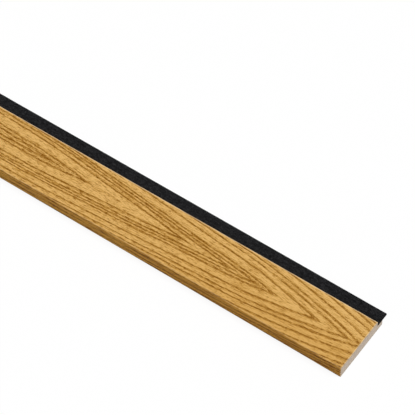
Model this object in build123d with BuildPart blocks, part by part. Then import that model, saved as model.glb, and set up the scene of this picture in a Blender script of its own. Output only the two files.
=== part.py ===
from build123d import *
import os

# End trim for a slatted acoustic wall panel: a wood-fibre moulding with a step along one long edge,
# an oak skin folded round its face, and a black felt strip that lies in the step.
# Frame: +X along the length, +Y from the closed side towards the felt strip, +Z up from the wall.

os.makedirs("parts", exist_ok=True)

length = 2400.0          # the length that slatted panels and their trims come in
thickness = 21.0         # 9 of felt and 12 of slat, the same as the panel beside it
faceWidth = 90.0         # oak face, over the outsides of the skin
skin = 0.6               # oak skin
stepDepth = 10.0         # from the oak face down to the top of the felt
feltThick = 1.5
tongueReach = 12.5       # how far the moulding's tongue stands out past the oak
feltReach = 24.5         # how far the felt stands out past the oak
feltGap = 0.2            # laid in beside the oak, not pushed against it
edgeRadius = 1.6         # eased long edges of the oak face
footBevel = 0.5          # break along both edges of the back; the oak is trimmed level with its top
feltCorner = 1.0         # free corners of the felt, rounded a little by the knife

totalWidth = faceWidth + feltReach
nearY = -totalWidth / 2                  # outside of the closed side
stepY = nearY + faceWidth                # outside of the skin in the step
tongueY = stepY + tongueReach
feltY = stepY + feltReach
feltBase = thickness - stepDepth - feltThick

coreNearY = nearY + skin
coreStepY = stepY - skin
coreTop = thickness - skin
coreRadius = edgeRadius - skin           # the skin keeps one thickness round the bends

section = Plane.YZ.offset(-length / 2)   # sketches on it have x across the trim and y up
foldCorners = [
    (coreNearY, footBevel),
    (coreNearY, coreTop),
    (coreStepY, coreTop),
    (coreStepY, feltBase),
]


# Moulding: one milled section, run through for the whole length.
with BuildPart() as core:
    with BuildSketch(section):
        with BuildLine():
            body = FilletPolyline(*foldCorners, radius=coreRadius)
            Polyline(
                body @ 1,
                (tongueY, feltBase),
                (tongueY, footBevel),
                (tongueY - footBevel, 0),
                (coreNearY + footBevel, 0),
                body @ 0,
            )
        make_face()
    extrude(amount=length)


# Oak skin: up the closed side, over the face and down into the step, in one piece.
with BuildPart() as oak:
    with BuildSketch(section):
        with BuildLine():
            fold = FilletPolyline(*foldCorners, radius=coreRadius)
            offset(fold, amount=skin, side=Side.LEFT)
        make_face()
    extrude(amount=length)


# Felt strip: lies on the tongue beside the oak and reaches past the tongue, over the next panel's felt.
with BuildPart() as felt:
    with BuildSketch(Plane.XY.offset(feltBase)) as feltOutline:
        with Locations((0, feltY)):
            Rectangle(length, feltReach - feltGap, align=(Align.CENTER, Align.MAX))
        fillet(feltOutline.vertices().group_by(Axis.Y)[-1], feltCorner)
    extrude(amount=feltThick)


core.part.label = "mdf_moulding"
oak.part.label = "oak_skin"
felt.part.label = "felt_strip"

export_step(core.part, "parts/mdf_moulding.step")
export_step(oak.part, "parts/oak_skin.step")
export_step(felt.part, "parts/felt_strip.step")
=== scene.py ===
import math
import bmesh
import bpy
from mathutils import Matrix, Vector, noise


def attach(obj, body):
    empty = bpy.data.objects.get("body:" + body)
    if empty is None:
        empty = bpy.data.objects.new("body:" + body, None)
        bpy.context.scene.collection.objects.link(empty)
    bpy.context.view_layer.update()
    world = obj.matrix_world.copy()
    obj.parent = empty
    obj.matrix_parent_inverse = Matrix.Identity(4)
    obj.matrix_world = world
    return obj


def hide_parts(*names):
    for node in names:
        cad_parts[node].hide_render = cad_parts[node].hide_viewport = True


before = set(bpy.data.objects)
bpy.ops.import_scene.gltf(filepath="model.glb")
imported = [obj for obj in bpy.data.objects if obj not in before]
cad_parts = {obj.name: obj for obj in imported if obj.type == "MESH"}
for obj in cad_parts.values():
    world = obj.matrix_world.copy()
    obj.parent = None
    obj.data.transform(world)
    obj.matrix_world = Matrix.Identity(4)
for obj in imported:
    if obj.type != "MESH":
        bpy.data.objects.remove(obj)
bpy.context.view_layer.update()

print("frame loaded:", sorted(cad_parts))


# Shader maths: a Sock wraps one output, and an expression on Socks adds Math nodes.
class Sock:
    def __init__(self, tree, out=None):
        self.tree, self.out = tree, out

    def node(self, kind, settings=None, inputs=None, output=0):
        made = self.tree.nodes.new(kind)
        for name, value in (settings or {}).items():
            setattr(made, name, value)
        for key, value in (inputs or {}).items():
            if isinstance(value, Sock):
                self.tree.links.new(value.out, made.inputs[key])
            else:
                made.inputs[key].default_value = value
        return Sock(self.tree, made.outputs[output] if made.outputs else None)

    def calc(self, operation, *values):
        return self.node("ShaderNodeMath", {"operation": operation}, dict(enumerate(values)))

    def __add__(self, other):
        return self.calc("ADD", self, other)

    def __radd__(self, other):
        return self.calc("ADD", other, self)

    def __sub__(self, other):
        return self.calc("SUBTRACT", self, other)

    def __rsub__(self, other):
        return self.calc("SUBTRACT", other, self)

    def __mul__(self, other):
        return self.calc("MULTIPLY", self, other)

    def __rmul__(self, other):
        return self.calc("MULTIPLY", other, self)

    def __truediv__(self, other):
        return self.calc("DIVIDE", self, other)

    def __rtruediv__(self, other):
        return self.calc("DIVIDE", other, self)

    def __gt__(self, other):
        return self.calc("GREATER_THAN", self, other)

    def __lt__(self, other):
        return self.calc("LESS_THAN", self, other)

    def __abs__(self):
        return self.calc("ABSOLUTE", self)


def linear(part):                          # one part of a colour, 0 to 255 as on a screen
    part = part / 255
    return part / 12.92 if part <= 0.04045 else ((part + 0.055) / 1.055) ** 2.4


def colour(r, g, b):
    return (linear(r), linear(g), linear(b), 1)


# The next three take a Sock or a plain number.
def root(value):
    return value.calc("SQRT", value) if isinstance(value, Sock) else math.sqrt(value)


def wave(value):
    return value.calc("SINE", value) if isinstance(value, Sock) else math.sin(value)


def growth(value):
    return value.calc("EXPONENT", value) if isinstance(value, Sock) else math.exp(value)


def least(one, two):
    return one.calc("MINIMUM", one, two)


def most(one, two):
    return one.calc("MAXIMUM", one, two)


def wrapped(value, span):                  # always from 0 up to the span
    return value.calc("FLOORED_MODULO", value, span)


def fade(value, low, high):                # 0 below low, 1 above high; falls when low is the greater
    return value.node(
        "ShaderNodeMapRange",
        {"interpolation_type": "SMOOTHSTEP"},
        {0: value, 1: low, 2: high, 3: 0.0, 4: 1.0},
    )


def place(start):                          # object coordinates in millimetres
    split = start.node("ShaderNodeTexCoord", output="Object")
    split = start.node("ShaderNodeSeparateXYZ", inputs={0: split})
    parts = [Sock(start.tree, out) for out in split.out.node.outputs]
    return [part * 1000.0 for part in parts]


def cloud(start, x, y, z, detail=2.0, rough=0.5):          # soft noise, about 0.2 to 0.8
    at = start.node("ShaderNodeCombineXYZ", inputs={0: x, 1: y, 2: z})
    inputs = {"Vector": at, "Scale": 1.0, "Detail": detail, "Roughness": rough}
    return start.node("ShaderNodeTexNoise", inputs=inputs)


def blend(factor, low, high):              # colours or Socks of colours
    inputs = {0: factor, 6: low, 7: high}
    return factor.node("ShaderNodeMix", {"data_type": "RGBA"}, inputs, output=2)


def tint(factor, shade, glaze):            # a see-through stain
    settings = {"data_type": "RGBA", "blend_type": "MULTIPLY"}
    return factor.node("ShaderNodeMix", settings, {0: factor, 6: shade, 7: glaze}, output=2)


def finish(name, paint, **fixed):          # fixed values go on the shader's own sockets
    material = bpy.data.materials.new(name)
    material.use_nodes = True
    tree = material.node_tree
    tree.nodes.clear()
    start = Sock(tree)
    inputs = paint(start)
    height, strength = inputs.pop("height"), inputs.pop("strength")
    bump = {"Height": height, "Strength": strength, "Distance": 0.001}
    inputs["Normal"] = start.node("ShaderNodeBump", inputs=bump)
    inputs.update({key.replace("_", " "): value for key, value in fixed.items()})
    shader = start.node("ShaderNodeBsdfPrincipled", inputs=inputs)
    start.node("ShaderNodeOutputMaterial", inputs={"Surface": shader})
    return material


stock = {                                  # sizes shared by the pieces, mm
    "cutEnd": 1200.0,                      # the sawn ends lie this far from the middle
    "thickness": 21.0,
    "nearSide": -57.25,                    # where the face meets the closed side
    "faceWidth": 90.0,
}

# Oak: flat-sawn, so the growth rings nest in long arrowheads that point to the +X end.
oak = {
    "arrowLine": 44.5,                     # middle of the arrowheads at the +X end, mm from the closed side
    "arrowSwing": 16.0,                    # how far that middle wanders across, further along
    "swingRate": 0.00116,
    "sharpness": 0.7,                      # mm, the rounding of an arrowhead's tip
    "lean": (1.03, 1.13),                  # ring growth across, on the closed side and on the felt side
    "spread": (0.0066, 0.0044),            # and its increase away from the middle, for each mm
    "slope": 0.0436,                       # ring growth along, for each mm
    "flare": 62.6,                         # and more of it towards the +X end
    "flareReach": 243,
    "swell": (1.96, 0.016, 0.71),          # two slow waves along: height, rate and start
    "ripple": (0.53, 0.035, 1.52),
    "tips": (520, 462, 290, 212, 170, 140, 72, 23),        # the arrowheads' points, mm back from the +X end
    "crossings": (42, 29, 17, 8),          # where the rings past them meet that end, mm from the closed side
    "further": (9, 12, 9, 14, 7, 8.5),     # widths of the rings past those
    "bandMiddle": 2.4,                     # from a ring's start to the middle of its dark band
    "vessel": (6.0, 0.6),                  # room for one vessel's dash, along and across
    "light": colour(224, 179, 107),
    "middle": colour(194, 145, 66),
    "ringDark": colour(128, 78, 4),
    "poreDark": colour(88, 54, 10),
    "sideLightTint": (1.14, 0.98, 0.48, 1),     # painted light: the closed side is tinted warmer, standing in for the warm bounce light it gets
    "dullTint": (0.93, 0.89, 0.79, 1),     # a patch of the face by the +X end is tinted a little warmer
    # painted highlight on the folds, and the pale of wear at the sawn ends
    "paleWearAndHighlight": colour(238, 220, 184),
}


def acrossFolded(y, z):                    # mm across the unfolded skin, from the fold on the closed side
    flat = y - stock["nearSide"]
    side = (flat > stock["faceWidth"] / 2) * 2.0 - 1.0
    return flat + side * (stock["thickness"] - z)


def arrowMiddle(x):                        # where the arrowheads point, across the skin
    return oak["arrowLine"] - wave((x - stock["cutEnd"]) * oak["swingRate"]) * oak["arrowSwing"]


def lengthWave(back, shape):
    height, rate, begin = shape
    return wave(back * rate + begin) * height


def ringPlace(x, across):                  # mm out from the pith
    back = x - stock["cutEnd"]
    off = across - arrowMiddle(x)
    side = off > 0
    lean = oak["lean"][0] + (oak["lean"][1] - oak["lean"][0]) * side
    spread = oak["spread"][0] + (oak["spread"][1] - oak["spread"][0]) * side
    out = root(off * off + oak["sharpness"] ** 2)
    taper = back * oak["slope"] + growth(back * (1 / oak["flareReach"])) * oak["flare"]
    swell = lengthWave(back, oak["swell"]) - lengthWave(back, oak["ripple"])
    return out * (out * spread + lean) + taper + swell


def sinceRing(place):                      # how far past the last ring's start, mm
    end = stock["cutEnd"]
    bands = [ringPlace(end - tip, arrowMiddle(end - tip)) for tip in oak["tips"]]
    bands += [ringPlace(end, crossing) for crossing in oak["crossings"]]
    for width in oak["further"]:
        bands.append(bands[-1] + width)
    total = bands[-1] - bands[0]           # then the rings come again in the same order
    since = total
    for middle in bands[:-1]:
        since = least(wrapped(place - (middle - oak["bandMiddle"]), total), since)
    return since


def paintOak(start):
    x, y, z = place(start)
    across = acrossFolded(y, z)
    out = ringPlace(x, across)
    drift = cloud(start, x * 0.045, across * 0.3, 3.0) - 0.5
    stagger = cloud(start, x * 0.2, across * 1.1, 4.0) - 0.5         # a ring's edge steps along the fibres
    out = out + drift * 1.4 + stagger * 2.8
    since = sinceRing(out)
    closed = fade(across, 1.0, -1.0)
    # early wood: a dark band at each ring's start, made of strands that run along the stock
    hair = fade(cloud(start, x * 0.17, across * 2.6, 31.0, 2.0, 0.6), 0.40, 0.60)
    beads = fade(cloud(start, x * 0.30, across * 1.1, 7.0, 1.0), 0.42, 0.58) * 0.6 + hair * 0.4
    strands = fade(cloud(start, x * 0.07, across * 0.7, 17.0, 1.0), 0.36, 0.56)
    uneven = fade(cloud(start, x * 0.012, out * 0.12, 2.0), 0.25, 0.6)
    near = fade(x, 900.0, 1150.0)          # by the +X end the bands are wider and softer
    band = fade(since, 0.0, 1.6) * fade(since, near * 1.2 + 5.2, near * 0.5 + 2.2)
    early = band * (beads * 0.75 + 0.3) * (strands * 0.6 + 0.4)
    early = early * (uneven * 0.2 + 0.8) * (1 - near * 0.14)
    late = fade(since, 4.0, 14.0)
    lines = fade(cloud(start, x * 0.022, out * 0.56, 0.0, 2.0, 0.65), 0.46, 0.64)
    heart = fade(out, -3.0, -11.0) * fade(x, 180.0, 420.0)           # the inmost rings there are flecked
    flecks = fade(cloud(start, x * 0.12, across * 1.2, 33.0, 2.0, 0.6), 0.45, 0.58) * heart
    # vessels: short dashes along the length, crowded in the early wood
    roomAlong, roomAcross = oak["vessel"]
    cell = start.node("ShaderNodeCombineXYZ", inputs={0: x / roomAlong, 1: across / roomAcross, 2: 0.0})
    dash = start.node("ShaderNodeTexVoronoi", {"voronoi_dimensions": "2D"}, {"Vector": cell, "Scale": 1.0})
    pores = fade(dash, 0.12 + early * 0.45, 0.05 + early * 0.25)
    sparse = fade(x, 1150.0, 700.0) * 0.35 + 0.65                    # fewer stray dashes towards the +X end
    stray = fade(cloud(start, x * 0.10, across * 1.2, 21.0, 1.0), 0.47, 0.61) * hair * sparse
    fibre = cloud(start, x * 0.035, across * 1.3, 9.0, 4.0, 0.78)
    zone = cloud(start, x * 0.006, across * 0.07, 5.0, 2.0)
    streak = cloud(start, x * 0.02, across * 0.36, 13.0, 3.0, 0.6) - 0.5
    # tone: from 0, pale late wood, to 1, the dark of a ring
    tone = lines * 0.4 + stray * 1.2 + (flecks - heart * 0.4) * 0.55 - late * 0.18
    tone = tone + (fibre - 0.5) * 2.3 + (zone - 0.5) * 0.4
    tone = tone + early * (1.4 - tone) + closed * streak * 4.0
    shade = blend(fade(tone, 0.0, 0.5), oak["light"], oak["middle"])
    shade = blend(fade(tone, 0.35, 1.05), shade, oak["ringDark"])
    shade = blend(pores * 0.5, shade, oak["poreDark"])
    dull = fade(across, 50.0, 24.0) * fade(x, 780.0, 1080.0)
    shade = tint(dull, shade, oak["dullTint"])
    # painted light: a warmer tint on the closed side in place of the warm bounce light that falls on it
    shade = tint(closed, shade, oak["sideLightTint"])
    # pale along the two folds, mostly the one by the felt: a painted highlight on the rounded arrises; and
    # scuffed pale at the sawn ends
    feltFold = fade(abs(across - stock["faceWidth"] + 0.9), 1.4, 0.4) * 0.6
    fold = feltFold + fade(abs(across - 0.6), 1.4, 0.2) * 0.16
    sawn = fade(abs(x), stock["cutEnd"] - 1.6, stock["cutEnd"] - 0.4) * 0.5
    wearAndHighlight = most(fold, sawn) * fade(fibre, 0.25, 0.6)
    # painted highlight along the folds, wear at the sawn ends
    shade = blend(wearAndHighlight, shade, oak["paleWearAndHighlight"])
    return {
        "Base Color": shade,
        "Roughness": 0.55 + pores * 0.25 + early * 0.1,
        "height": 0.0 - pores * 0.1 - early * 0.12 + fibre * 0.05,
        "strength": 0.6,
    }


# Raw moulding: fine pressed fibre, denser towards the two faces.
board = {
    "base": colour(190, 173, 159),
    "fibre": colour(212, 200, 182),
    "speck": colour(134, 116, 96),
    "dense": colour(168, 150, 128),
    "middleHeight": 10.2,                  # mm
}


def paintBoard(start):
    x, y, z = place(start)
    clump = cloud(start, x * 0.9, y * 0.9, z * 1.6, 4.0, 0.65)
    fine = cloud(start, x * 5.0, y * 5.0, z * 7.0, 3.0, 0.7)
    dust = cloud(start, x * 2.2, y * 2.2, z * 3.0, 1.0)
    shade = blend(fade(clump, 0.35, 0.72), board["base"], board["fibre"])
    shade = blend(fade(fine, 0.55, 0.78) * 0.55, shade, board["speck"])
    depth = abs(z - board["middleHeight"])
    shade = blend(fade(depth, 6.5, 10.4) * 0.5, shade, board["dense"])
    # the saw leaves faint upright marks on both ends
    sawn = fade(abs(x), stock["cutEnd"] - 0.6, stock["cutEnd"] - 0.2)
    marks = fade(cloud(start, y * 0.8 + z * 0.2, z * 0.03, 11.0, 3.0, 0.7), 0.42, 0.66) * sawn
    shade = blend(marks * 0.22, shade, board["speck"])
    return {
        "Base Color": shade,
        "Roughness": 0.86 + (dust - 0.5) * 0.2,
        "height": fine * 0.1 + clump * 0.1 - marks * 0.15,
        "strength": 0.5,
    }


# Felt: black needled polyester with a few paler fibres on its surface.
felt = {
    "low": (32.95, 9.5),                   # y and z of the edge beside the oak, mm
    "width": 24.3,
    "length": stock["cutEnd"] * 2,
    "thickness": 1.5,
    "soften": 0.42,                        # rounding of the rims
    "corner": 1.4,                         # and of the two free corners
    "cells": (800, 14),
    "sag": 0.18,                           # fall past the tongue, mm for each whole width
    "ragged": 0.12,                        # mm that the cut edge is drawn in, give or take
    "base": colour(27, 27, 29),
    "fibre": colour(74, 74, 76),
    "deep": colour(4, 4, 5),
}


def paintFelt(start):
    x, y, z = place(start)
    clump = cloud(start, x * 0.22, y * 0.5, z * 0.5, 3.0, 0.7)
    tangle = cloud(start, x * 1.1, y * 1.1, z * 1.1, 5.0, 0.75)
    bend = (tangle - 0.5) * 3.0
    hairA = cloud(start, x * 0.7 + bend, y * 5.0 + bend, z * 4.0, 2.0, 0.6)
    hairB = cloud(start, x * 4.6 - bend, y * 0.9 + bend, z * 4.0 + 7.0, 2.0, 0.6)
    hairs = fade(hairA, 0.55, 0.66) + fade(hairB, 0.57, 0.68) * 0.8
    shade = blend(fade(tangle + (clump - 0.5) * 1.2, 0.3, 0.7), felt["deep"], felt["base"])
    shade = blend(hairs * fade(clump, 0.3, 0.7) * 0.8, shade, felt["fibre"])
    return {
        "Base Color": shade,
        "Roughness": 0.95 - hairs * 0.05,
        "height": hairs * 0.18 + tangle * 0.3,
        "strength": 0.8,
    }


feltSheen = {"Sheen_Weight": 0.03, "Sheen_Roughness": 0.6}
materials = {
    "oak_skin": finish("oak_veneer", paintOak, IOR=1.45, Specular_IOR_Level=0.12),
    "mdf_moulding": finish("raw_fibre_board", paintBoard, Specular_IOR_Level=0.2),
    "felt_strip": finish("black_felt", paintFelt, Specular_IOR_Level=0.05, **feltSheen),
}
print("materials made")


def dress(piece, material):
    piece.data.materials.clear()
    piece.data.materials.append(material)


for name in ("oak_skin", "mdf_moulding"):
    dress(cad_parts[name], materials[name])


def wander(x, y, z):                       # smooth, about -0.5 to 0.5
    return noise.noise(Vector((x, y, z)))


def layFelt():
    low, width, thick = felt["low"], felt["width"], felt["thickness"]
    made = bmesh.new()
    along, across = felt["cells"]
    bmesh.ops.create_grid(made, x_segments=along, y_segments=across, size=0.5)
    bmesh.ops.scale(made, vec=(felt["length"], width, 1), verts=made.verts)
    bmesh.ops.translate(made, vec=(0, low[0] + width / 2, low[1]), verts=made.verts)
    bottom = list(made.faces)
    grown = bmesh.ops.extrude_face_region(made, geom=bottom, use_keep_orig=True)
    top = [part for part in grown["geom"] if isinstance(part, bmesh.types.BMVert)]
    bmesh.ops.translate(made, vec=(0, 0, thick), verts=top)
    bmesh.ops.recalc_face_normals(made, faces=made.faces)
    halfLength, freeSide = felt["length"] / 2, low[0] + width

    def atCorner(vert):
        return abs(abs(vert.co.x) - halfLength) < 0.01 and abs(vert.co.y - freeSide) < 0.01

    corners = [edge for edge in made.edges if all(atCorner(vert) for vert in edge.verts)]
    bmesh.ops.bevel(
        made, geom=corners, offset=felt["corner"], segments=5, profile=0.5, affect="EDGES", material=-1
    )
    rim = [edge for edge in made.edges if edge.calc_face_angle(0) > 1]
    bmesh.ops.bevel(
        made, geom=rim, offset=felt["soften"], segments=3, profile=0.5, affect="EDGES", material=-1
    )
    for vert in made.verts:                # needled felt is never quite flat, nor its cut edge quite straight
        x, y, z = vert.co
        across = (y - low[0]) / width
        up = (z - low[1]) / thick
        nap = wander(x * 0.35, y * 0.6, 3.0) * 0.07 + wander(x * 0.04, y * 0.1, 8.0) * 0.08
        slump = felt["sag"] * max(0.0, across - 0.5) * (1 + wander(x * 0.011, 0, 5.0))
        vert.co.z += up * (nap - 0.09) - (slump if across > 0.53 else 0)        # past the tongue only
        ragged = felt["ragged"] + wander(x * 0.5, z * 0.8, 1.0) * 0.1 + wander(x * 0.02, 0, 2.0) * 0.1
        vert.co.y -= max(0.0, across * 2 - 1) * ragged
    bmesh.ops.scale(made, vec=(0.001, 0.001, 0.001), verts=made.verts)
    mesh = bpy.data.meshes.new("felt_laid")
    made.to_mesh(mesh)
    made.free()
    piece = bpy.data.objects.new("felt_laid", mesh)
    bpy.context.collection.objects.link(piece)
    for face in mesh.polygons:
        face.use_smooth = True
    dress(piece, materials["felt_strip"])
    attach(piece, "root")
    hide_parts("felt_strip")
    width / 1000
    felt["length"] / 1000
    print("felt laid:", len(mesh.polygons), "faces")


layFelt()


# Camera, light and floor.
view = {
    "turn": 35.191,                        # degrees round from looking along +Y
    "down": 53.773,                        # degrees below level
    "place": (1.9812, -1.4703, 2.5711),
    "lens": 197.90,
    "sensor": 36,
    "clip": (0.05, 60),
}
light = {
    "towards": (0.50, 0.17, 0.85),         # from the object to the lamp
    "strength": 2.80,
    "softness": 28.0,
    "sky": 0.25,
}
paperFloor = {
    "halfWidth": 15,
    "below": 0.0003,                       # m under the object, so that the two never share a face
    "lit": 0.55,                           # how pale it is for the light that falls back on the object
    "seen": 0.97,
    "glow": 0.9,                           # how much of what the camera sees of it is plain white
}


def setCamera():
    camera = bpy.data.objects.new("camera", bpy.data.cameras.new("camera"))
    camera.data.sensor_width = view["sensor"]
    camera.data.lens = view["lens"]
    camera.data.clip_start, camera.data.clip_end = view["clip"]
    camera.location = view["place"]
    camera.rotation_euler = (math.radians(90 - view["down"]), 0, math.radians(view["turn"]))
    bpy.context.collection.objects.link(camera)
    bpy.context.scene.camera = camera


def rayMask(start):                        # 1 where the eye, a reflection or glass sees the surface itself
    rays = start.node("ShaderNodeLightPath").out.node.outputs
    names = ("Is Camera Ray", "Is Glossy Ray", "Is Transmission Ray")
    eye, gloss, glass = [Sock(start.tree, rays[name]) for name in names]
    return most(most(eye, gloss), glass)


def setLight():
    lamp = bpy.data.objects.new("soft_key", bpy.data.lights.new("soft_key", "SUN"))
    lamp.data.energy = light["strength"]
    lamp.data.angle = math.radians(light["softness"])
    lamp.rotation_euler = Vector(light["towards"]).to_track_quat("Z", "Y").to_euler()
    lamp.location = Vector(light["towards"]) * 3
    bpy.context.collection.objects.link(lamp)
    world = bpy.data.worlds.new("studio")
    world.use_nodes = True
    world.node_tree.nodes.clear()
    start = Sock(world.node_tree)
    strength = rayMask(start) * (1 - light["sky"]) + light["sky"]
    sky = start.node("ShaderNodeBackground", inputs={"Color": (1, 1, 1, 1), "Strength": strength})
    start.node("ShaderNodeOutputWorld", inputs={"Surface": sky})
    bpy.context.scene.world = world


def grey(level):
    return (level, level, level, 1)


def setFloor():
    made = bmesh.new()
    bmesh.ops.create_grid(made, x_segments=1, y_segments=1, size=paperFloor["halfWidth"])
    bmesh.ops.translate(made, vec=(0, 0, -paperFloor["below"]), verts=made.verts)
    mesh = bpy.data.meshes.new("floor")
    made.to_mesh(mesh)
    made.free()
    floor = bpy.data.objects.new("floor", mesh)
    bpy.context.collection.objects.link(floor)
    paper = bpy.data.materials.new("white_floor")
    paper.use_nodes = True
    paper.node_tree.nodes.clear()
    start = Sock(paper.node_tree)
    matt = start.node("ShaderNodeBsdfDiffuse", inputs={"Color": grey(paperFloor["lit"])})
    bright = start.node("ShaderNodeBsdfDiffuse", inputs={"Color": grey(paperFloor["seen"])})
    white = start.node("ShaderNodeEmission", inputs={"Color": grey(1), "Strength": 1.0})
    shown = start.node("ShaderNodeMixShader", inputs={0: paperFloor["glow"], 1: bright, 2: white})
    mixed = start.node("ShaderNodeMixShader", inputs={0: rayMask(start), 1: matt, 2: shown})
    start.node("ShaderNodeOutputMaterial", inputs={"Surface": mixed})
    floor.data.materials.append(paper)


setCamera()
setLight()
setFloor()
bpy.context.scene.view_settings.view_transform = "Standard"
print("camera, light and floor set")
